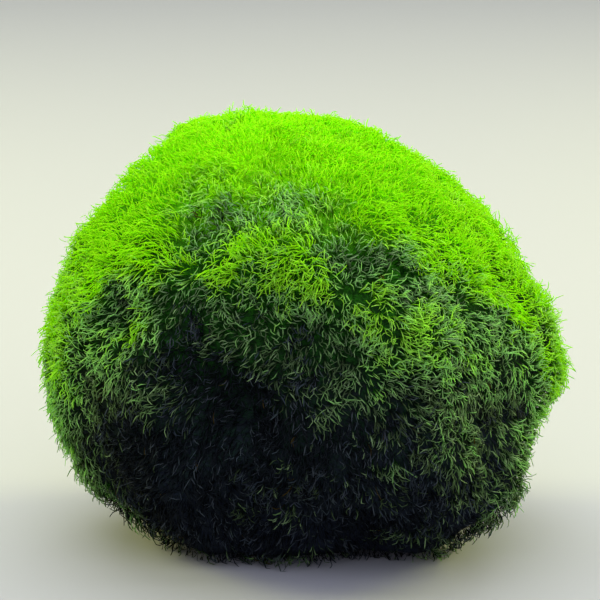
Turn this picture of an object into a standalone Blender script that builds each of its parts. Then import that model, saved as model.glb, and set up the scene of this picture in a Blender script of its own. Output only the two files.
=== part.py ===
"""Marimo moss ball: one living ball of branched green alga, resting on the small flat spot that its own weight presses.

Run with: blender --background --python part.py
Units are metres and +Z is up. The origin is on the flat spot, under the middle of the ball. The side that is
seen in the photograph faces -Y.
"""

import math
import random

import bmesh
import bpy
from mathutils import Vector, noise

# Driving dimensions of the whole ball, to the tips of its tufts
WIDTH = 0.0520
DEPTH = 0.0498
HEIGHT = 0.0420

# The plain form: a dome above the widest level and a sagging, fuller bowl below it
WIDEST_LEVEL = 0.0172
MAIN_RADIUS = 0.0246
DEPTH_SHARE = 0.965
TOP_RISE = HEIGHT - WIDEST_LEVEL
BOTTOM_DROP = 0.0180
TOP_FULLNESS = 1.97
BOTTOM_FULLNESS = 2.9
LEAN = -0.08

# Lobes and hollows that the clumps of filaments make: direction, height in metres and spread in degrees
LOBES = (
    ((1.00, -0.05, 0.00), 0.0024, 13.0),
    ((-1.00, 0.10, 0.05), 0.0008, 20.0),
    ((-0.99, -0.04, -0.10), 0.0006, 12.0),
    ((-0.50, -0.10, 0.88), 0.0018, 17.0),
    ((-0.64, 0.08, 0.77), -0.0038, 10.0),
    ((-0.88, -0.10, 0.42), 0.0002, 14.0),
    ((0.70, -0.06, 0.71), -0.0014, 13.0),
    ((0.44, -0.88, -0.16), 0.0022, 25.0),
    ((-0.24, -0.86, -0.44), -0.0026, 16.0),
    ((0.18, -0.72, -0.67), -0.0022, 17.0),
    ((-0.74, -0.64, -0.06), 0.0013, 18.0),
    ((0.90, -0.06, -0.42), -0.0044, 16.0),
    ((0.30, -0.66, 0.62), 0.0009, 16.0),
    ((-0.10, -0.82, 0.42), -0.0009, 12.0),
    ((-0.45, -0.72, 0.52), 0.0006, 12.0),
    ((0.55, 0.80, 0.20), 0.0013, 20.0),
    ((-0.45, 0.86, -0.12), 0.0015, 22.0),
    ((0.05, 0.90, 0.44), -0.0012, 14.0),
    ((-0.60, 0.55, 0.58), 0.0010, 17.0),
    ((0.10, 0.88, -0.46), -0.0016, 14.0),
)

# Unevenness of the mat between the lobes
SWELL_HEIGHT = 0.0010
SWELL_SCALE = 3.1
RUFFLE_HEIGHT = 0.0005
RUFFLE_SCALE = 7.5
PATTERN_SHIFT = Vector((3.1, 7.7, 1.3))

# Tufts: short pointed clumps of filament tips that stand out of the mat and lean the way the water combs them
TUFT_HEIGHT = 0.0019
LEAST_TUFT = 0.45
TUFT_SHARE = 0.42
TUFT_DROOP = 0.30
TUFT_SWIRL = 0.55
SWIRL_SCALE = 1.9
TUFT_STRAY = 0.0003
MAT_ROUGHNESS = 0.0004
TUFTS_FADE_BELOW = 0.0030

# The surface that it rests on
FLOOR_BLOCK_SIZE = 0.08

# Look and make of the mesh
MOSS_GREEN = (0.060, 0.215, 0.016, 1.0)
MOSS_ROUGHNESS = 0.85
BALL_SUBDIVISIONS = 5
RANDOM_SEED = 11


def clear_scene():
    """Remove every object of the scene that Blender opens with."""
    for obj in list(bpy.data.objects):
        bpy.data.objects.remove(obj)


def make_collection(name):
    """A new collection, linked to the scene."""
    collection = bpy.data.collections.new(name)
    bpy.context.scene.collection.children.link(collection)
    return collection


def move_to(obj, collection):
    """Put an object in this collection alone."""
    for old in list(obj.users_collection):
        old.objects.unlink(obj)
    collection.objects.link(obj)


def moss_material():
    """Matt green of dense alga filaments."""
    material = bpy.data.materials.new("moss")
    material.use_nodes = True
    shader = material.node_tree.nodes["Principled BSDF"]
    shader.inputs["Base Color"].default_value = MOSS_GREEN
    shader.inputs["Roughness"].default_value = MOSS_ROUGHNESS
    shader.inputs["Metallic"].default_value = 0.0
    return material


def plain_radius(direction):
    """Distance from the middle of the widest level to the plain form, along a unit direction."""
    across = math.hypot(direction.x, direction.y / DEPTH_SHARE) / MAIN_RADIUS
    if direction.z >= 0.0:
        fullness = TOP_FULLNESS
        along = direction.z / TOP_RISE
    else:
        fullness = BOTTOM_FULLNESS
        along = -direction.z / BOTTOM_DROP
    return (across**fullness + along**fullness) ** (-1.0 / fullness)


def lobe_height(direction):
    """Sum of the lobes and hollows, each a smooth bump round its own direction."""
    height = 0.0
    for toward, rise, spread in LOBES:
        angle = math.degrees(direction.angle(Vector(toward)))
        height += rise * math.exp(-((angle / spread) ** 2))
    return height


def unevenness(direction):
    """Swells and ruffles of the mat, from smooth noise."""
    swell = noise.noise(direction * SWELL_SCALE + PATTERN_SHIFT)
    ruffle = noise.noise(direction * RUFFLE_SCALE - PATTERN_SHIFT)
    return SWELL_HEIGHT * swell + RUFFLE_HEIGHT * ruffle


def outer_point(direction, below=0.0):
    """Point of the outer form along a direction from the widest level's middle, or this far below it."""
    reach = plain_radius(direction) + lobe_height(direction) + unevenness(direction) - below
    point = direction * reach
    point.x += LEAN * point.z
    point.z += WIDEST_LEVEL
    return point


def tuft_strength(point):
    """1 on the free surface, falling to 0 where the ball is pressed on what it rests on."""
    return min(1.0, max(0.0, point.z / TUFTS_FADE_BELOW))


def combed_way(direction):
    """The way that the filaments lean along the surface: downhill, turned aside by slow swirls."""
    downhill = Vector((0.0, 0.0, -TUFT_DROOP))
    swirl = noise.noise_vector(direction * SWIRL_SCALE + PATTERN_SHIFT) * TUFT_SWIRL
    way = downhill + swirl
    return way - direction * way.dot(direction)


def shape_mat(ball, chance):
    """Give each vertex of the unit sphere its place on the mat, at the foot of the tufts."""
    for vertex in ball.verts:
        direction = vertex.co.normalized()
        outer = outer_point(direction)
        strength = tuft_strength(outer)
        below = TUFT_HEIGHT * strength + MAT_ROUGHNESS * strength * chance.uniform(-1.0, 1.0)
        vertex.co = outer_point(direction, below)


def raise_tufts(ball, chance):
    """Turn a share of the faces into pointed tufts of unlike heights that lean the combed way."""
    ball.faces.ensure_lookup_table()
    count = round(len(ball.faces) * TUFT_SHARE)
    chosen = chance.sample(list(ball.faces), count)
    poked = bmesh.ops.poke(ball, faces=chosen)
    middle = Vector((0.0, 0.0, WIDEST_LEVEL))
    for tip in poked["verts"]:
        foot = tip.co - middle
        foot.x -= LEAN * foot.z
        direction = foot.normalized()
        outer = outer_point(direction)
        strength = tuft_strength(outer)
        height = TUFT_HEIGHT * chance.uniform(LEAST_TUFT, 1.0) * strength
        stray = Vector([chance.uniform(-1.0, 1.0) for _ in range(3)]) * TUFT_STRAY * strength
        lean = combed_way(direction) * height + stray - direction * stray.dot(direction)
        tip.co = outer_point(direction, TUFT_HEIGHT * strength - height) + lean


def fit_to_size(ball):
    """Scale the form to its driving dimensions, with the middle of its width and depth over the origin."""
    for axis, size in ((0, WIDTH), (1, DEPTH)):
        values = [vertex.co[axis] for vertex in ball.verts]
        middle = (max(values) + min(values)) / 2.0
        scale = size / (max(values) - min(values))
        for vertex in ball.verts:
            vertex.co[axis] = (vertex.co[axis] - middle) * scale
    scale = HEIGHT / max(vertex.co.z for vertex in ball.verts)
    for vertex in ball.verts:
        vertex.co.z *= scale


def make_floor_block(collection):
    """Cutter: the surface below the ball, whose top presses the flat spot at height 0."""
    bpy.ops.mesh.primitive_cube_add(size=FLOOR_BLOCK_SIZE, location=(0.0, 0.0, -FLOOR_BLOCK_SIZE / 2.0))
    block = bpy.context.object
    block.name = "floor_block"
    block.display_type = "WIRE"
    block.hide_render = True
    move_to(block, collection)
    return block


def make_moss_ball(collection, floor_block):
    """The ball: an icosphere shaped to the mat, with tufts poked out of its faces and its foot cut flat."""
    bpy.ops.mesh.primitive_ico_sphere_add(subdivisions=BALL_SUBDIVISIONS, radius=1.0)
    moss_ball = bpy.context.object
    moss_ball.name = "moss_ball"
    moss_ball.data.name = "moss_ball"
    chance = random.Random(RANDOM_SEED)
    ball = bmesh.new()
    ball.from_mesh(moss_ball.data)
    shape_mat(ball, chance)
    raise_tufts(ball, chance)
    fit_to_size(ball)
    bmesh.ops.recalc_face_normals(ball, faces=ball.faces)
    ball.to_mesh(moss_ball.data)
    ball.free()
    moss_ball.data.shade_smooth()
    moss_ball.data.materials.append(moss_material())
    pressed = moss_ball.modifiers.new("pressed_flat", "BOOLEAN")
    pressed.operation = "DIFFERENCE"
    pressed.solver = "EXACT"
    pressed.object = floor_block
    move_to(moss_ball, collection)
    return moss_ball


clear_scene()
cutters = make_collection("Cutters")
parts = make_collection("Marimo moss ball")
make_moss_ball(parts, make_floor_block(cutters))
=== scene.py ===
"""Marimo moss ball: a living ball of branched green alga, resting on its own small flat spot."""

import math

import bpy
import numpy as np
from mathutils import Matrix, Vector, noise


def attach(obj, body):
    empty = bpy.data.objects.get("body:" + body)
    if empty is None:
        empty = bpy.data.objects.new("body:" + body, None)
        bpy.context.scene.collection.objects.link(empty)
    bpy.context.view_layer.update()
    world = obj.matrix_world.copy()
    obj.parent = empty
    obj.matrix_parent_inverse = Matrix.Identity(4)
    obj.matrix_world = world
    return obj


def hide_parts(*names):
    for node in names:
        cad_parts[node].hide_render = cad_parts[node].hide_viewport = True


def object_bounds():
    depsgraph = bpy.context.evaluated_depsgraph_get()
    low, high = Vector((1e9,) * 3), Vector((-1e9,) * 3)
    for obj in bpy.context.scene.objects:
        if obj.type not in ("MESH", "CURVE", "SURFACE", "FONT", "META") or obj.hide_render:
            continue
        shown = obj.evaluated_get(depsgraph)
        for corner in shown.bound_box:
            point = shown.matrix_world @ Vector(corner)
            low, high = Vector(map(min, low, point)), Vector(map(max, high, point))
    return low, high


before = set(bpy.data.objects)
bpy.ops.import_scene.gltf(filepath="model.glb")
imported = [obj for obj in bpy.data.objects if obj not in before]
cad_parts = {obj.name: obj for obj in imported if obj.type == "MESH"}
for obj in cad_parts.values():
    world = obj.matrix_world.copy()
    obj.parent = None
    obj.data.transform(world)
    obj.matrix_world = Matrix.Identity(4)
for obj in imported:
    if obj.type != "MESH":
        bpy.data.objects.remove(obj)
cad_low, cad_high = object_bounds()


# The felted mat: the close tangle of old filaments that the free ones grow out of. It is the ball's own form,
# at the mean height of its tufts, with lumps, hollows and swellings, and it rests on the flat spot. It is
# nearly black low down, where little light comes between the filaments, and green on the crown: partly the
# alga's own darker underside, and partly painted shade low down and painted light on the crown.
MM = 0.001
BALL_MIDDLE = (cad_low + cad_high) / 2
START_RADIUS = 10 * MM
START_SUBDIVISIONS = 5
MAT_BELOW_MEAN = 0.1 * MM
MAT_SMOOTHINGS = 6
LUMP_SIZE = 4.4 * MM
LUMP_HEIGHT = 2.4 * MM
GROUND_CLEARANCE = 0.02 * MM

# The crown: how far the way out of the ball's middle has to point up for it to start, and to be full
CROWN_START = 0.45
CROWN_SPAN = 0.4
CROWN_RISE = 0.7 * MM

# Hollows and swellings: the way to each from the ball's middle, its depth or height, its spread in degrees
HOLLOWS = (
    ((-0.49, -0.86, 0.10), 1.5 * MM, 9.0),
    ((0.17, -0.87, 0.45), 1.8 * MM, 6.0),
    ((-0.27, -0.89, 0.36), 0.5 * MM, 5.0),
    ((0.05, -0.97, 0.23), 1.2 * MM, 7.0),
    ((-0.06, -1.00, 0.02), 0.9 * MM, 8.0),
    ((0.39, -0.92, -0.03), 0.4 * MM, 6.0),
    ((0.00, -0.96, -0.27), 0.8 * MM, 7.0),
    ((-0.37, -0.75, 0.56), 1.3 * MM, 6.0),
    ((-0.25, -0.95, -0.16), 1.6 * MM, 11.0),
    ((-0.28, -0.90, -0.34), 1.7 * MM, 15.0),
    ((0.16, -0.80, -0.58), 1.2 * MM, 15.0),
    ((-0.75, -0.50, -0.50), 1.2 * MM, 13.0),
    ((0.64, -0.72, 0.26), 0.4 * MM, 7.0),
    ((0.66, -0.70, -0.22), 1.2 * MM, 9.0),
    ((0.86, -0.45, -0.24), 0.5 * MM, 9.0),
    ((-0.74, -0.65, 0.19), 1.2 * MM, 7.0),
    ((-0.72, 0.05, 0.69), 2.0 * MM, 9.0),
    ((-0.91, 0.05, 0.40), 1.0 * MM, 9.0),
    ((0.98, 0.05, 0.14), 1.0 * MM, 7.0),
    ((0.80, 0.00, -0.60), 1.8 * MM, 12.0),
    ((0.50, 0.80, 0.10), 1.2 * MM, 10.0),
    ((-0.40, 0.80, 0.35), 1.2 * MM, 11.0),
    ((-0.90, 0.30, -0.10), 1.0 * MM, 9.0),
    ((0.85, 0.35, -0.35), 1.2 * MM, 11.0),
)
SWELLINGS = (
    ((-0.08, -0.88, 0.48), 1.2 * MM, 8.0),
    ((0.03, -0.92, 0.40), 1.2 * MM, 8.0),
    ((0.12, -0.93, 0.33), 1.4 * MM, 8.0),
    ((-0.26, -0.86, 0.44), 1.6 * MM, 9.0),
    ((0.62, -0.66, 0.40), 1.1 * MM, 8.0),
    ((0.32, -0.66, 0.67), 0.9 * MM, 7.0),
    ((0.43, -0.57, 0.70), 0.8 * MM, 10.0),
    ((0.98, 0.05, -0.18), 0.5 * MM, 8.0),
    ((-0.64, -0.68, 0.35), 1.3 * MM, 9.0),
    ((0.47, -0.87, 0.10), 1.1 * MM, 9.0),
    ((-0.78, -0.53, 0.33), 0.8 * MM, 9.0),
    ((0.36, -0.91, 0.19), 1.2 * MM, 8.0),
    ((0.51, -0.80, 0.30), 0.8 * MM, 9.0),
    ((0.44, -0.86, -0.22), 1.2 * MM, 10.0),
    ((-0.82, -0.20, -0.55), 0.4 * MM, 9.0),
    ((-0.20, 0.90, 0.10), 0.9 * MM, 9.0),
    ((0.75, 0.45, 0.35), 0.8 * MM, 9.0),
)

# The felt's threads wind in loops of two sizes, drawn a few times coarser than real ones so that they show.
# Across a thread the mask goes from gap to thread and back. The dark gaps are painted shade between the
# threads, and both gaps and threads are brighter higher up the ball, partly as painted light.
FELT_THREAD_LOOPS = (1.1 * MM, 0.8 * MM)
FELT_THREAD_HEIGHT = 0.3 * MM
FELT_DARK_BELOW = 4 * MM
FELT_LIT_ABOVE = 40 * MM
ACROSS_A_THREAD = (
    (0.41, "#000000"), (0.47, "#9A9A9A"), (0.50, "#FFFFFF"), (0.53, "#9A9A9A"), (0.59, "#000000"),
)
# Gap colours: painted shade between the threads. Both ramps: painted shade low down, painted light on the
# crown.
GAP_COLOURS = ((0.0, "#1C2232"), (0.45, "#0C1212"), (0.75, "#0E3004"), (0.86, "#4C9C08"), (1.0, "#84D000"))
THREAD_COLOURS = ((0.0, "#242A36"), (0.45, "#102C16"), (0.75, "#2A7010"), (0.86, "#6CB808"), (1.0, "#9CE800"))


def only(obj):
    """Make this object the one that is selected and active."""
    bpy.ops.object.select_all(action="DESELECT")
    obj.select_set(True)
    bpy.context.view_layer.objects.active = obj


def finish_modifier(obj, kind, **settings):
    """Add a modifier with its settings and apply it."""
    only(obj)
    modifier = obj.modifiers.new(kind.lower(), kind)
    for name, value in settings.items():
        setattr(modifier, name, value)
    bpy.ops.object.modifier_apply(modifier=modifier.name)


def point_values(mesh, name):
    """A vector of each point of a mesh, such as its place or normal, as an array."""
    values = np.empty(len(mesh.vertices) * 3)
    mesh.vertices.foreach_get(name, values)
    return values.reshape(-1, 3)


def unit(vectors):
    """The vectors at length 1."""
    return vectors / np.maximum(np.linalg.norm(vectors, axis=-1, keepdims=True), 1e-9)


def bump(ways, centre, spread):
    """A smooth bump, 1 at its centre, for each way out of the ball's middle. The spread is in degrees."""
    angle = np.degrees(np.arccos((ways @ unit(np.array(centre))).clip(-1, 1)))
    return np.exp(-((angle / spread) ** 2))


def linear(hex_colour):
    """An sRGB hex colour as linear RGBA."""
    channels = [int(hex_colour[i:i + 2], 16) / 255 for i in (1, 3, 5)]
    return [c / 12.92 if c <= 0.04045 else ((c + 0.055) / 1.055) ** 2.4 for c in channels] + [1.0]


def add_node(tree, kind, settings=None, links=None):
    """Add a shader node: settings are its properties or, by socket name, values; links feed its sockets."""
    node = tree.nodes.new(kind)
    for name, value in (settings or {}).items():
        if hasattr(node, name):
            setattr(node, name, value)
        else:
            node.inputs[name].default_value = value
    for name, source in (links or {}).items():
        tree.links.new(source, node.inputs[name])
    return node


def set_ramp(node, stops):
    """Give a colour ramp its stops, as pairs of place and hex colour."""
    elements = node.color_ramp.elements
    while len(elements) < len(stops):
        elements.new(1.0)
    for element, (place, colour) in zip(elements, stops):
        element.position = place
        element.color = linear(colour)


def felt_material():
    """Felted old alga: matt, nearly black between tangled threads as painted shade, the threads green where
    light comes down, brighter there as painted light.
    """
    material = bpy.data.materials.new("felted_alga")
    material.use_nodes = True
    tree = material.node_tree
    shader = tree.nodes["Principled BSDF"]
    place = add_node(tree, "ShaderNodeTexCoord")
    masks = []
    for size in FELT_THREAD_LOOPS:
        wander = add_node(tree, "ShaderNodeTexNoise", {"Scale": 1 / size, "Detail": 1.5, "Distortion": 0.6},
                          {"Vector": place.outputs["Object"]})
        line = add_node(tree, "ShaderNodeValToRGB", links={"Fac": wander.outputs["Fac"]})
        set_ramp(line, ACROSS_A_THREAD)
        masks.append(line.outputs["Color"])
    threads = add_node(tree, "ShaderNodeMath", {"operation": "MAXIMUM"})
    tree.links.new(masks[0], threads.inputs[0])
    tree.links.new(masks[1], threads.inputs[1])
    # Brighter with height: painted shade low down, painted light on the crown, partly the alga's own darker
    # underside.
    height = add_node(tree, "ShaderNodeSeparateXYZ", links={"Vector": place.outputs["Object"]})
    level = add_node(tree, "ShaderNodeMapRange", {"From Min": FELT_DARK_BELOW, "From Max": FELT_LIT_ABOVE},
                     {"Value": height.outputs["Z"]})
    gap = add_node(tree, "ShaderNodeValToRGB", links={"Fac": level.outputs["Result"]})
    set_ramp(gap, GAP_COLOURS)
    thread = add_node(tree, "ShaderNodeValToRGB", links={"Fac": level.outputs["Result"]})
    set_ramp(thread, THREAD_COLOURS)
    colour = add_node(tree, "ShaderNodeMix", {"data_type": "RGBA"})
    tree.links.new(threads.outputs["Value"], colour.inputs["Factor"])
    tree.links.new(gap.outputs["Color"], colour.inputs["A"])
    tree.links.new(thread.outputs["Color"], colour.inputs["B"])
    raised = add_node(tree, "ShaderNodeBump", {"Strength": 0.8, "Distance": FELT_THREAD_HEIGHT},
                      {"Height": threads.outputs["Value"]})
    tree.links.new(colour.outputs["Result"], shader.inputs["Base Color"])
    tree.links.new(raised.outputs["Normal"], shader.inputs["Normal"])
    shader.inputs["Roughness"].default_value = 0.95
    shader.inputs["Specular IOR Level"].default_value = 0.05
    return material


bpy.ops.object.select_all(action="DESELECT")
bpy.ops.mesh.primitive_ico_sphere_add(subdivisions=START_SUBDIVISIONS, radius=START_RADIUS,
                                      location=BALL_MIDDLE)
mat = bpy.context.object
mat.name = "moss_mat"
mat.data.name = "moss_mat"
finish_modifier(mat, "SHRINKWRAP", target=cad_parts["moss_ball"], wrap_method="PROJECT",
                use_positive_direction=True, use_negative_direction=False)
finish_modifier(mat, "SMOOTH", factor=0.5, iterations=MAT_SMOOTHINGS)
only(mat)
bpy.ops.object.transform_apply(location=True, rotation=True, scale=True)
mean_places = point_values(mat.data, "co")
lumps = bpy.data.textures.new("lumps", "CLOUDS")
lumps.noise_scale = LUMP_SIZE
lumps.noise_depth = 1
finish_modifier(mat, "DISPLACE", strength=-MAT_BELOW_MEAN, mid_level=0.0)
finish_modifier(mat, "DISPLACE", texture=lumps, texture_coords="LOCAL", strength=LUMP_HEIGHT, mid_level=0.5)
finish_modifier(mat, "SMOOTH", factor=0.5, iterations=1)
mat_places = point_values(mat.data, "co")
mat_normals = point_values(mat.data, "normal")
outward = unit(mat_places - np.array(BALL_MIDDLE))
mat_places += mat_normals * CROWN_RISE * ((outward[:, 2:] - CROWN_START) / CROWN_SPAN).clip(0, 1)
for way, depth, spread in HOLLOWS + tuple((way, -height, spread) for way, height, spread in SWELLINGS):
    mat_places -= mat_normals * (depth * bump(outward, way, spread))[:, None]
mat_places[:, 2] = np.maximum(mat_places[:, 2], GROUND_CLEARANCE)
mat.data.vertices.foreach_set("co", mat_places.ravel())
mat.data.update()
mat.data.shade_smooth()
mat.data.materials.append(felt_material())
set_in = ((mean_places - mat_places) * mat_normals).sum(1)
set_in -= set_in.mean()
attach(mat, "root")
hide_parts("moss_ball")


# The free filaments: living green threads, a tenth of a millimetre thick, that grow out of the mat in tufts,
# arch over and curl at their tips, some with a side twig. Each is a closed tapered tube, bent from one model
# of a filament, and they are joined by the side of the ball that they grow on.
FILAMENT_COUNT = 53000
FILAMENT_LENGTH = 1.95 * MM
FILAMENT_RADIUS = 0.063 * MM
FILAMENT_STEPS = (0.44, 0.25, 0.23, 0.08)
FILAMENT_TAPER = 0.3
LENGTH_SPREAD = 0.13
LENGTH_RANGE = (0.6, 1.3)
THICKNESS_RANGE = (0.6, 1.15)
LUMP_CROWDING = 0.55 / MM
HOOK = math.radians(120)
HOOK_RANGE = (0.6, 1.3)
HOOK_SHARPNESS = 1.75
CURL = math.radians(165)
CURL_CENTRE = 0.6
LOW_CURL_LOSS = 0.6

# Twigs fork off the lowest or the next length of a filament, and start with its colour there
TWIG_COUNT = 6000
TWIG_LENGTH = 1.1 * MM
TWIG_LENGTH_RANGE = (0.7, 1.25)
TWIG_THICKNESS = 0.92
TWIG_STEPS = (0.34, 0.30, 0.26, 0.10)
TWIG_OPENING_RANGE = (0.6, 1.4)
TWIG_STRAYING = 0.2
TWIG_HOOK_RANGE = (0.5, 1.1)
TWIG_UNLIKENESS = 0.015
LOW_FORK_ON_MAP = 0.25
LOW_FORK_MAP_SPAN = 0.20
HIGH_FORK_ON_MAP = 0.45
HIGH_FORK_MAP_SPAN = 0.25

# Tufts share a lean, a bend, a length and a tone, and clumps comb the filaments around them one way
TUFT_COUNT = 1700
TUFT_BEND_RANGE = (0.75, 1.2)
TUFT_LENGTH_SPREAD = 0.09
TUFT_LENGTH_RANGE = (0.8, 1.2)
TUFT_UNLIKENESS = 0.11
CLUMP_COUNT = 700
CLUMP_SIZE = 1.1 * MM

# A few strays stand out longer and straighter, and on the crown the filaments are shorter and thicker
STRAY_SHARE = 0.03
STRAY_LENGTH = 1.2
STRAY_HOOK = 0.5
CROWN_SHORTENING = 0.32
CROWN_THICKENING = 0.12

# Fewer grow where the ball is pressed on the floor and where it faces down
PRESSED_BELOW = 3 * MM
PRESSED_SHARE = 0.3
FACING_DOWN = -0.6
FACING_DOWN_SHARE = 0.6

# What a filament hooks over towards, by share
HOOK_DOWNHILL = 0.35
HOOK_BACKWARD = 0.6
HOOK_COMBED = 0.45
HOOK_WITH_TUFT = 0.25
HOOK_OWN_WAY = 0.38
DRIFT_EVENED = 0.9
DRIFT_LEFT = 0.2

# What a filament's start leans along, by share
LEAN_SURFACE = 0.3
LEAN_OUTWARD = 0.7
LEAN_TO_HOOK = 0.28
LEAN_INTO_TUFT = 0.3
LEAN_WITH_TUFT = 0.12
LEAN_OWN_WAY = 0.2

# Tone, from 0 at the darkest to HIGHEST_TONE, paints light and shade into the filaments' colour. The front is
# painted in shade, as the open sky reaches it far less than the flanks and the back, which get a painted
# glow;
# the hollows and the low parts get painted shade too, partly the alga's own darker underside. A tone past the
# highest stands for a pale or grey filament, which is a painted sheen, or an olive one, and the margin keeps
# the map of every other filament clear of those colours.
SKY_FROM_HEIGHT = 0.55
SKY_FROM_FACING = 0.45
FRONT_BRIGHTEST = 0.78
FLANK_BRIGHTEST = 0.94
FLANK_FALL = 2.2
BACKWARD_FROM_PLACE = 0.8
BACKWARD_FROM_FACING = 0.2
FLANK_START = 0.66
FLANK_START_BY_HEIGHT = 0.36
FLANK_SPAN = 0.52
LOWEST_TONE = 0.01
HIGHEST_TONE = 0.88
TONE_MARGIN = 0.01
TONE_LIMIT = 0.64
TONE_LIMIT_BY_HEIGHT = 0.8
TONE_LIMIT_ON_FLANKS = 0.35
UNLIKE_WHEN_DARK = 0.95
UNLIKE_LOSS_WHEN_BRIGHT = 0.4
FILAMENT_UNLIKENESS = 0.05
SUNK_PAINTED_SHADE = 0.15
MOTTLE_SIZE = 0.9 * MM
MOTTLE = 0.30
# Pale and grey filaments are a painted sheen, pale in the middle tones and grey in the darkest; olive ones
# are the alga's own colour
PAINTED_SHEEN_TONE = 0.92
PAINTED_SHEEN_SHARE = 0.13
PAINTED_SHEEN_BELOW = 0.5
GREY_PAINTED_SHEEN_TONE = 0.95
GREY_PAINTED_SHEEN_BELOW = 0.14
OLIVE_TONE = 0.98
OLIVE_SHARE = 0.004
OLIVE_BELOW = 0.6

# Colour at the root and at the tip of a filament, by its tone, with painted light and shade: blue-black
# painted shade low down and in the hollows, a pale mint tip over a dark green root in the middle, the tip a
# painted highlight and the root painted shade, and lime all along on the crown, roots included, as painted
# light
ROOT_COLOURS = (
    (0.0, "#0A0D12"), (0.07, "#161B24"), (0.14, "#0C160A"), (0.25, "#0A2006"), (0.38, "#103A0C"),
    (0.50, "#1A5414"), (0.62, "#2C6C16"), (0.74, "#68B016"), (HIGHEST_TONE, "#BEFF0A"),
    (PAINTED_SHEEN_TONE, "#1C3A20"), (GREY_PAINTED_SHEEN_TONE, "#10161C"), (OLIVE_TONE, "#33280A"),
)
TIP_COLOURS = (
    (0.0, "#181B20"), (0.07, "#525E70"), (0.14, "#4C5E42"), (0.25, "#6C8662"), (0.38, "#92BA7E"),
    (0.50, "#A6DA90"), (0.62, "#B2E480"), (0.74, "#B8EC54"), (HIGHEST_TONE, "#ACE60E"),
    (PAINTED_SHEEN_TONE, "#A0BC94"), (GREY_PAINTED_SHEEN_TONE, "#50586A"), (OLIVE_TONE, "#5A4A1C"),
)
# Up a filament the tip colour comes in towards its arch and eases a little at the end: a painted highlight
# where the arch faces the light, over a root in painted shade
TIP_SHARE_BY_HEIGHT = ((0.38, 0.0), (0.70, 1.0), (0.85, 0.95))
TIP_SHARE_AT_END = 0.6

# On a filament's map, across is its tone and up is the height from its root to its tip
MAP_HALF_WIDTH = 0.004
MAP_ROOT = 0.02
MAP_TIP = 0.98

# Painted light and shade in patches, lighter and darker: the way to each patch from the ball's middle, its
# change of tone, and its spread in degrees
PAINTED_LIGHT_AND_SHADE = (
    ((-0.37, -0.74, 0.57), -0.46, 7.0),
    ((-0.44, -0.59, 0.68), -0.54, 7.0),
    ((-0.51, -0.72, 0.47), 0.22, 6.0),
    ((-0.38, -0.82, 0.44), 0.14, 6.0),
    ((-0.25, -0.84, 0.48), 0.26, 6.0),
    ((-0.08, -0.68, 0.73), -0.38, 9.0),
    ((-0.15, -0.79, 0.59), -0.44, 6.0),
    ((-0.66, -0.67, 0.36), 0.35, 9.0),
    ((-0.42, -0.82, 0.38), 0.14, 8.0),
    ((-0.33, -0.90, 0.29), 0.14, 6.0),
    ((-0.03, -0.92, 0.40), 0.30, 8.0),
    ((0.15, -0.88, 0.44), -0.40, 6.0),
    ((0.22, -0.76, 0.61), 0.40, 7.0),
    ((0.34, -0.70, 0.62), 0.20, 6.0),
    ((0.32, -0.82, 0.47), -0.34, 5.0),
    ((0.36, -0.85, 0.38), -0.10, 5.0),
    ((0.49, -0.74, 0.45), 0.14, 6.0),
    ((0.41, -0.87, 0.27), -0.14, 6.0),
    ((0.16, -0.97, 0.15), 0.10, 5.0),
    ((0.14, -0.94, 0.31), 0.30, 7.0),
    ((0.25, -0.92, 0.30), 0.28, 5.0),
    ((0.78, -0.48, 0.38), 0.20, 9.0),
    ((0.40, -0.90, 0.14), 0.42, 8.0),
    ((0.28, -0.96, 0.02), 0.42, 5.0),
    ((0.36, -0.93, -0.10), -0.12, 6.0),
    ((0.62, -0.64, 0.45), 0.30, 7.0),
    ((0.80, -0.57, 0.16), -0.34, 7.0),
    ((0.49, -0.83, 0.27), -0.38, 5.0),
    ((0.58, -0.78, -0.23), 0.06, 5.0),
    ((0.98, 0.01, 0.21), 0.20, 8.0),
    ((-0.67, -0.51, 0.53), 0.14, 7.0),
    ((-0.84, -0.29, 0.46), 0.20, 8.0),
    ((0.86, -0.47, -0.18), -0.20, 8.0),
    ((-0.84, -0.52, 0.14), -0.06, 9.0),
    ((-0.66, -0.74, 0.15), 0.52, 7.0),
    ((-0.70, -0.66, 0.27), -0.60, 6.0),
    ((-0.54, -0.80, 0.27), -0.16, 6.0),
    ((-0.18, -0.96, 0.22), 0.26, 6.0),
    ((0.70, -0.71, 0.00), 0.27, 8.0),
    ((-0.55, -0.68, -0.48), -0.20, 14.0),
    ((0.08, -0.87, -0.46), 0.10, 14.0),
    ((0.36, -0.88, -0.30), -0.18, 8.0),
    ((0.51, -0.83, -0.20), 0.12, 6.0),
    ((0.02, -0.95, -0.28), -0.10, 8.0),
    ((0.66, -0.68, -0.32), 0.12, 8.0),
    ((0.69, -0.59, -0.42), 0.22, 9.0),
    ((-0.82, -0.50, -0.28), -0.14, 11.0),
)
SEED = 52
chance = np.random.default_rng(SEED)


def flat_to(vectors, normals):
    """The part of each vector that lies along the surface."""
    return vectors - normals * (vectors * normals).sum(-1, keepdims=True)


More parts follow.
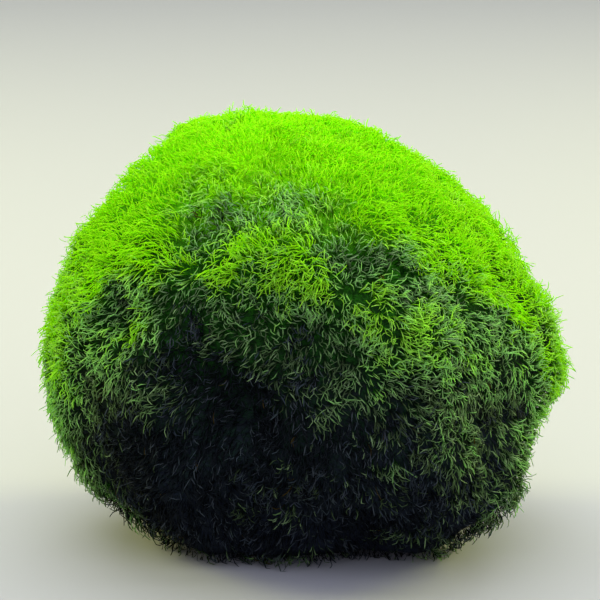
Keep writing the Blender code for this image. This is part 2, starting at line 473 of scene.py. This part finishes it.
def model_filament(steps):
    """A straight filament, modelled as by hand: a three-sided thread of radius 1, pointed at both ends."""
    bpy.ops.object.select_all(action="DESELECT")
    bpy.ops.mesh.primitive_circle_add(vertices=3, radius=1.0, fill_type="NGON")
    stalk = bpy.context.object
    bpy.ops.object.mode_set(mode="EDIT")
    bpy.ops.mesh.select_all(action="SELECT")
    for step in steps:
        bpy.ops.mesh.extrude_region_move(TRANSFORM_OT_translate={"value": (0.0, 0.0, step)})
    bpy.ops.mesh.merge(type="CENTER")
    bpy.ops.mesh.select_all(action="DESELECT")
    bpy.ops.object.mode_set(mode="OBJECT")
    for vertex in stalk.data.vertices:
        vertex.select = vertex.co.z < steps[0] / 2
    bpy.ops.object.mode_set(mode="EDIT")
    bpy.ops.mesh.merge(type="CENTER")
    bpy.ops.mesh.select_all(action="SELECT")
    bpy.ops.mesh.normals_make_consistent(inside=False)
    bpy.ops.object.mode_set(mode="OBJECT")
    corners = np.array([vertex.co for vertex in stalk.data.vertices])
    faces = [list(face.vertices) for face in stalk.data.polygons]
    bpy.data.objects.remove(stalk)
    return corners, faces


def surface_samples(mesh, count):
    """Seeded places over a mesh, denser on its lumps: points, normals, and how far each is set in."""
    mesh.calc_loop_triangles()
    points, normals = point_values(mesh, "co"), point_values(mesh, "normal")
    corners = np.array([triangle.vertices for triangle in mesh.loop_triangles])
    a, b, c = (points[corners[:, i]] for i in range(3))
    area = np.linalg.norm(np.cross(b - a, c - a), axis=1)
    crowding = area * (1.0 + LUMP_CROWDING * (-set_in[corners].mean(1)).clip(0, None))
    share = crowding / crowding.sum() * count
    copies = np.floor(share + chance.random(len(share))).astype(int)
    chosen = np.repeat(np.arange(len(copies)), copies)
    u, v = chance.random((2, len(chosen)))
    over = u + v > 1
    u[over], v[over] = 1 - u[over], 1 - v[over]
    weights = np.stack([1 - u - v, u, v], axis=1)[:, :, None]
    spots = (points[corners[chosen]] * weights).sum(1)
    facing = unit((normals[corners[chosen]] * weights).sum(1))
    sunk = (set_in[corners[chosen]] * weights[:, :, 0]).sum(1)
    return spots, facing, sunk


def nearest(points, centres, at_once=2000):
    """Index of the nearest centre to each point, worked out for some of the points at once."""
    found = np.empty(len(points), int)
    for start in range(0, len(points), at_once):
        gaps = ((points[start:start + at_once, None, :] - centres[None]) ** 2).sum(-1)
        found[start:start + at_once] = gaps.argmin(1)
    return found


def arch_over(roots, directions, toward, angles, curls, lengths, steps):
    """Centre lines of filaments that start in these directions, hook over towards others and curl aside."""
    side = unit(flat_to(toward, directions))
    across = np.cross(directions, side)
    lines = [roots]
    done = 0.0
    for step in steps:
        along = done + step / 2
        done += step
        turn = (angles * along ** HOOK_SHARPNESS)[:, None]
        curl = (curls * (along - CURL_CENTRE))[:, None]
        flat = side * np.cos(curl) + across * np.sin(curl)
        heading = directions * np.cos(turn) + flat * np.sin(turn)
        lines.append(lines[-1] + heading * (lengths * step)[:, None])
    return np.stack(lines, axis=1)


def tube_mesh(name, lines, radii, tones, low, model):
    """Bend copies of the model along the centre lines and join them. The map holds tone and height."""
    corners, faces = model
    count, steps = len(lines), lines.shape[1] - 1
    tangents = unit(np.gradient(lines, axis=1))
    _, level = np.unique(np.round(corners[:, 2], 4), return_inverse=True)
    chord = lines[:, -1] - lines[:, 0]
    bulge = lines[:, steps - 1] - lines[:, 0]
    no_zero = 1e-12
    reference = unit(np.cross(chord, bulge) + no_zero)[:, None, :]
    first = unit(flat_to(np.broadcast_to(reference, tangents.shape), tangents))
    second = np.cross(tangents, first)
    taper = 1.0 - FILAMENT_TAPER * corners[:, 2] ** 2
    offsets = first[:, level] * corners[:, 0][None, :, None]
    offsets = offsets + second[:, level] * corners[:, 1][None, :, None]
    places = lines[:, level] + offsets * (radii[:, None] * taper[None, :])[:, :, None]
    places[..., 2] = np.maximum(places[..., 2], GROUND_CLEARANCE)
    across = np.clip(corners[:, 0], -1, 1) * MAP_HALF_WIDTH
    map_u = tones[:, None] + across[None, :]
    map_v = low[:, None] + (MAP_TIP - low)[:, None] * corners[:, 2][None, :]
    mesh = bpy.data.meshes.new(name)
    shift = np.arange(count)[:, None] * len(corners)
    all_faces = [row for face in faces for row in (np.array(face)[None, :] + shift).tolist()]
    mesh.from_pydata(places.reshape(-1, 3), [], all_faces)
    mesh.shade_smooth()
    loops = np.empty(len(mesh.loops), np.int32)
    mesh.loops.foreach_get("vertex_index", loops)
    drawn = np.stack([map_u.ravel(), map_v.ravel()], axis=1)[loops]
    mesh.uv_layers.new(name="OFBake").uv.foreach_set("vector", drawn.astype(np.float32).ravel())
    return mesh


def filament_material():
    """Living alga filament: soft, wet and thin enough to glow with the light that comes through it."""
    material = bpy.data.materials.new("living_alga")
    material.use_nodes = True
    tree = material.node_tree
    shader = tree.nodes["Principled BSDF"]
    own_map = add_node(tree, "ShaderNodeUVMap", {"uv_map": "OFBake"})
    parts = add_node(tree, "ShaderNodeSeparateXYZ", links={"Vector": own_map.outputs["UV"]})
    root = add_node(tree, "ShaderNodeValToRGB", links={"Fac": parts.outputs["X"]})
    set_ramp(root, ROOT_COLOURS)
    tip = add_node(tree, "ShaderNodeValToRGB", links={"Fac": parts.outputs["X"]})
    set_ramp(tip, TIP_COLOURS)
    height = add_node(tree, "ShaderNodeFloatCurve", links={"Value": parts.outputs["Y"]})
    for place, share in TIP_SHARE_BY_HEIGHT:
        height.mapping.curves[0].points.new(place, share)
    height.mapping.curves[0].points[0].location = (0.0, 0.0)
    height.mapping.curves[0].points[-1].location = (1.0, TIP_SHARE_AT_END)
    # Painted shade at the root, a painted highlight up the arch
    colour = add_node(tree, "ShaderNodeMix", {"data_type": "RGBA"})
    tree.links.new(height.outputs["Value"], colour.inputs["Factor"])
    tree.links.new(root.outputs["Color"], colour.inputs["A"])
    tree.links.new(tip.outputs["Color"], colour.inputs["B"])
    tree.links.new(colour.outputs["Result"], shader.inputs["Base Color"])
    shader.inputs["Roughness"].default_value = 0.5
    shader.inputs["IOR"].default_value = 1.38
    shader.inputs["Specular IOR Level"].default_value = 0.05
    glow = add_node(tree, "ShaderNodeBsdfTranslucent", links={"Color": colour.outputs["Result"]})
    mixed = add_node(tree, "ShaderNodeMixShader", {"Fac": 0.70})
    tree.links.new(shader.outputs["BSDF"], mixed.inputs[1])
    tree.links.new(glow.outputs["BSDF"], mixed.inputs[2])
    tree.links.new(mixed.outputs["Shader"], tree.nodes["Material Output"].inputs["Surface"])
    return material


def tones_at(places, normals, sunk, tuft):
    """Tone of each filament, with painted light and shade: bright on the crown, flanks and lumps, dark
    underneath and in the hollows.
    """
    height = (places[:, 2] - cad_low.z) / (cad_high.z - cad_low.z)
    open_sky = SKY_FROM_HEIGHT * height.clip(0, 1) + SKY_FROM_FACING * (0.5 + 0.5 * normals[:, 2])
    shaded = LOWEST_TONE + FRONT_BRIGHTEST * open_sky ** 2
    glowing = FLANK_BRIGHTEST * (1.0 - (1.0 - open_sky) ** FLANK_FALL)
    way_out = unit(places - np.array(BALL_MIDDLE))
    backward = way_out[:, 1] * BACKWARD_FROM_PLACE + normals[:, 1] * BACKWARD_FROM_FACING
    turned = ((backward + FLANK_START + FLANK_START_BY_HEIGHT * height) / FLANK_SPAN).clip(0, 1)
    turned = turned ** 2 * (3 - 2 * turned)
    tones = shaded + (glowing - shaded) * turned
    mottle = np.array([noise.noise(place) for place in places / MOTTLE_SIZE])
    unlike_and_painted_light = tuft_tones[tuft] + MOTTLE * mottle + chance.normal(0, FILAMENT_UNLIKENESS, len(places))
    # Painted shade in the hollows, and painted light and shade in patches
    unlike_and_painted_light = unlike_and_painted_light - SUNK_PAINTED_SHADE * sunk / MM
    for way, change, spread in PAINTED_LIGHT_AND_SHADE:
        unlike_and_painted_light += change * bump(way_out, way, spread)
    tones += unlike_and_painted_light * (UNLIKE_WHEN_DARK - UNLIKE_LOSS_WHEN_BRIGHT * tones)
    # The limit keeps the front and the low parts dark: painted shade
    limit = TONE_LIMIT + TONE_LIMIT_BY_HEIGHT * (height - 0.5) + TONE_LIMIT_ON_FLANKS * turned
    tones = np.minimum(tones, limit).clip(LOWEST_TONE, HIGHEST_TONE - TONE_MARGIN)
    # A share of the filaments off the flanks get a painted sheen, pale, or grey where darkest
    painted_sheen = (chance.random(len(tones)) < PAINTED_SHEEN_SHARE * (1.0 - turned)) & (tones < PAINTED_SHEEN_BELOW)
    tones[painted_sheen & (tones >= GREY_PAINTED_SHEEN_BELOW)] = PAINTED_SHEEN_TONE
    tones[painted_sheen & (tones < GREY_PAINTED_SHEEN_BELOW)] = GREY_PAINTED_SHEEN_TONE
    tones[(chance.random(len(tones)) < OLIVE_SHARE) & (tones < OLIVE_BELOW)] = OLIVE_TONE
    return tones


tuft_places, _, _ = surface_samples(mat.data, TUFT_COUNT)
tufts = len(tuft_places)
tuft_leans = chance.normal(size=(tufts, 3))
tuft_bends = chance.uniform(*TUFT_BEND_RANGE, tufts)
tuft_lengths = chance.normal(1.0, TUFT_LENGTH_SPREAD, tufts).clip(*TUFT_LENGTH_RANGE)
tuft_tones = chance.normal(0, TUFT_UNLIKENESS, tufts)

clump_places, clump_normals, _ = surface_samples(mat.data, CLUMP_COUNT)
clump_ways = unit(flat_to(chance.normal(size=clump_places.shape), clump_normals))

roots, normals, sunk = surface_samples(mat.data, FILAMENT_COUNT)
grown_share = np.where(normals[:, 2] < FACING_DOWN, FACING_DOWN_SHARE, 1.0)
grown_share = np.where(roots[:, 2] < PRESSED_BELOW, PRESSED_SHARE, grown_share)
keep = chance.random(len(roots)) < grown_share
roots, normals, sunk = roots[keep], normals[keep], sunk[keep]
tuft = nearest(roots, tuft_places)
from_middle = unit(roots - np.array(BALL_MIDDLE))
downhill = flat_to(np.array([0.0, 0.0, -1.0]), from_middle)
from_front = flat_to(np.array([0.0, 1.0, 0.0]), from_middle)
swirl = flat_to(tuft_leans[tuft], normals)
own_way = flat_to(chance.normal(size=roots.shape), normals)
clump_gaps = ((roots[:, None, :] - clump_places[None]) ** 2).sum(-1)
clump_pull = np.exp(-clump_gaps / (2 * CLUMP_SIZE ** 2))
combed = unit(flat_to(clump_pull @ clump_ways, normals))
lower = (1.0 - 2.0 * (roots[:, 2:] - cad_low.z) / (cad_high.z - cad_low.z)).clip(0, 1)
drift = flat_to(downhill * (HOOK_DOWNHILL + lower) + from_front * HOOK_BACKWARD, normals)
drift /= np.linalg.norm(drift, axis=1, keepdims=True) * DRIFT_EVENED + DRIFT_LEFT
toward = unit(drift + combed * HOOK_COMBED + swirl * HOOK_WITH_TUFT + own_way * HOOK_OWN_WAY)
gather = flat_to(tuft_places[tuft] - roots, normals) / FILAMENT_LENGTH
lean = normals * LEAN_SURFACE + from_middle * LEAN_OUTWARD + toward * LEAN_TO_HOOK
lean = unit(lean + gather * LEAN_INTO_TUFT + swirl * LEAN_WITH_TUFT + own_way * LEAN_OWN_WAY)
angles = HOOK * chance.uniform(*HOOK_RANGE, len(roots)) * tuft_bends[tuft]
unlike_lengths = chance.normal(1.0, LENGTH_SPREAD, len(roots)).clip(*LENGTH_RANGE)
lengths = FILAMENT_LENGTH * unlike_lengths * tuft_lengths[tuft]
on_crown = ((from_middle[:, 2] - CROWN_START) / CROWN_SPAN).clip(0, 1)
lengths *= 1.0 - CROWN_SHORTENING * on_crown
stray = chance.random(len(roots)) < STRAY_SHARE
lengths[stray] *= STRAY_LENGTH
angles[stray] *= STRAY_HOOK
curls = chance.normal(0, CURL, len(roots)) * (1.0 - LOW_CURL_LOSS * lower[:, 0])
stems = arch_over(roots, lean, toward, angles, curls, lengths, FILAMENT_STEPS)
stem_radii = FILAMENT_RADIUS * chance.uniform(*THICKNESS_RANGE, len(roots))
stem_radii = stem_radii * (1.0 + CROWN_THICKENING * on_crown)
stem_tones = tones_at(roots, normals, sunk, tuft)
stem_starts = np.full(len(roots), MAP_ROOT)

parent = chance.choice(len(roots), TWIG_COUNT, replace=False)
fork = chance.uniform(0.0, 1.0, TWIG_COUNT)[:, None]
on_lower_half = chance.random((TWIG_COUNT, 1)) < 0.5
low_fork = stems[parent, 0] * (1 - fork) * 0.5 + stems[parent, 1] * (1 + fork) * 0.5
high_fork = stems[parent, 1] * (1 - fork) + stems[parent, 2] * fork
fork_places = np.where(on_lower_half, low_fork, high_fork)
low_way = stems[parent, 1] - stems[parent, 0]
high_way = stems[parent, 2] - stems[parent, 1]
stem_way = unit(np.where(on_lower_half, low_way, high_way))
aside = unit(flat_to(chance.normal(size=(TWIG_COUNT, 3)), stem_way))
opening = chance.uniform(*TWIG_OPENING_RANGE, (TWIG_COUNT, 1))
twig_lean = unit(stem_way + aside * opening)
twig_toward = toward[parent] + chance.normal(size=(TWIG_COUNT, 3)) * TWIG_STRAYING
twig_angles = HOOK * chance.uniform(*TWIG_HOOK_RANGE, TWIG_COUNT)
twig_lengths = TWIG_LENGTH * chance.uniform(*TWIG_LENGTH_RANGE, TWIG_COUNT)
twig_curls = chance.normal(0, CURL, TWIG_COUNT)
twigs = arch_over(fork_places, twig_lean, twig_toward, twig_angles, twig_curls, twig_lengths, TWIG_STEPS)
twig_radii = stem_radii[parent] * TWIG_THICKNESS
twig_tones = stem_tones[parent] + chance.normal(0, TWIG_UNLIKENESS, TWIG_COUNT)
twig_tones = twig_tones.clip(LOWEST_TONE, HIGHEST_TONE - TONE_MARGIN)
twig_tones = np.where(stem_tones[parent] > HIGHEST_TONE, stem_tones[parent], twig_tones)
low_start = LOW_FORK_ON_MAP + LOW_FORK_MAP_SPAN * fork
high_start = HIGH_FORK_ON_MAP + HIGH_FORK_MAP_SPAN * fork
twig_starts = np.where(on_lower_half, low_start, high_start)[:, 0]

stem_model = model_filament(FILAMENT_STEPS)
twig_model = model_filament(TWIG_STEPS)
living_alga = filament_material()

# The sides that the filaments are joined by: four quarters round the ball, from its right, and its two ends
SIDES = ("right", "back", "left", "front", "crown", "foot")
FACING_UP = 0.72
quarter_turns = np.arctan2(normals[:, 1], normals[:, 0]) / (math.pi / 2)
stem_side = np.floor(quarter_turns + 0.5).astype(int) % 4
stem_side = np.where(normals[:, 2] < FACING_DOWN, SIDES.index("foot"), stem_side)
stem_side = np.where(normals[:, 2] > FACING_UP, SIDES.index("crown"), stem_side)
for number, side in enumerate(SIDES):
    name = "filaments_" + side
    here = stem_side == number
    twigs_here = stem_side[parent] == number
    meshes = [
        tube_mesh(name, stems[here], stem_radii[here], stem_tones[here], stem_starts[here], stem_model),
        tube_mesh(name, twigs[twigs_here], twig_radii[twigs_here], twig_tones[twigs_here],
                  twig_starts[twigs_here], twig_model),
    ]
    joined = [bpy.data.objects.new(name, mesh) for mesh in meshes]
    bpy.ops.object.select_all(action="DESELECT")
    for obj in joined:
        bpy.context.scene.collection.objects.link(obj)
        obj.select_set(True)
    bpy.context.view_layer.objects.active = joined[0]
    bpy.ops.object.join()
    filaments = bpy.context.object
    filaments.name = name
    filaments.data.materials.append(living_alga)
    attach(filaments, "root")


# The table that it lies on: a plain floor, a hair below the flat spot and large enough to fill the view.
# Its matt blue-grey reads as pale and neutral, because the lamps are bright and two of them are yellowish.
FLOOR_SIZE = 3.0
FLOOR_BELOW = 0.05 * MM
bpy.ops.object.select_all(action="DESELECT")
bpy.ops.mesh.primitive_plane_add(size=FLOOR_SIZE, location=(0.0, 0.0, -FLOOR_BELOW))
floor = bpy.context.object
floor.name = "floor"
plain = bpy.data.materials.new("matt_painted_board")
plain.use_nodes = True
plain.node_tree.nodes["Principled BSDF"].inputs["Base Color"].default_value = linear("#888A9A")
plain.node_tree.nodes["Principled BSDF"].inputs["Roughness"].default_value = 0.8
floor.data.materials.append(plain)


# The light: a large soft lamp above, a weaker one in front, a yellowish one behind at each side that makes
# the rim glow, and a weak even glow all round.
GLOW_COLOUR = "#F2F4F6"
GLOW_STRENGTH = 0.42


def add_lamp(name, place, size, power, colour):
    """A soft square lamp that looks at the ball."""
    lamp = bpy.data.lights.new(name, "AREA")
    lamp.size = size
    lamp.energy = power
    lamp.color = linear(colour)[:3]
    obj = bpy.data.objects.new(name, lamp)
    obj.location = place
    obj.rotation_euler = (BALL_MIDDLE - Vector(place)).to_track_quat("-Z", "Y").to_euler()
    obj.visible_camera = False
    bpy.context.scene.collection.objects.link(obj)


add_lamp("lamp_above", place=(0.00, 0.14, 0.48), size=0.70, power=5.1, colour="#FFFFF0")
add_lamp("lamp_front", place=(0.06, -0.42, 0.30), size=0.50, power=2.6, colour="#FFFFFF")
add_lamp("lamp_left", place=(-0.40, 0.16, 0.20), size=0.20, power=2.8, colour="#FFFF90")
add_lamp("lamp_right", place=(0.40, 0.16, 0.20), size=0.20, power=2.8, colour="#FFFF90")
world = bpy.data.worlds.new("studio")
world.use_nodes = True
world.node_tree.nodes["Background"].inputs["Color"].default_value = linear(GLOW_COLOUR)
world.node_tree.nodes["Background"].inputs["Strength"].default_value = GLOW_STRENGTH
bpy.context.scene.world = world
bpy.context.scene.view_settings.view_transform = "Standard"


# The camera: low and in front, as in the photograph, with the ball as wide in the picture as it is there
# and a little below the middle.
CAMERA_DISTANCE = 0.320
CAMERA_ELEVATION = math.radians(12)
SENSOR = 36.0
PICTURE = 600
PIXELS_PER_METRE = 540 / 0.052
AIM_ABOVE_MIDDLE = 23 / PIXELS_PER_METRE
AIM_LEFT = 7 / PIXELS_PER_METRE
camera = bpy.data.cameras.new("camera")
camera.sensor_width = SENSOR
camera.lens = SENSOR * CAMERA_DISTANCE * PIXELS_PER_METRE / PICTURE
camera.clip_start = 0.01
camera_object = bpy.data.objects.new("camera", camera)
back = Vector((0.0, -math.cos(CAMERA_ELEVATION), math.sin(CAMERA_ELEVATION)))
up = Vector((0.0, math.sin(CAMERA_ELEVATION), math.cos(CAMERA_ELEVATION)))
aim = BALL_MIDDLE + up * AIM_ABOVE_MIDDLE - Vector((AIM_LEFT, 0.0, 0.0))
camera_object.location = aim + back * CAMERA_DISTANCE
camera_object.rotation_euler = back.to_track_quat("Z", "Y").to_euler()
bpy.context.scene.collection.objects.link(camera_object)
bpy.context.scene.camera = camera_object
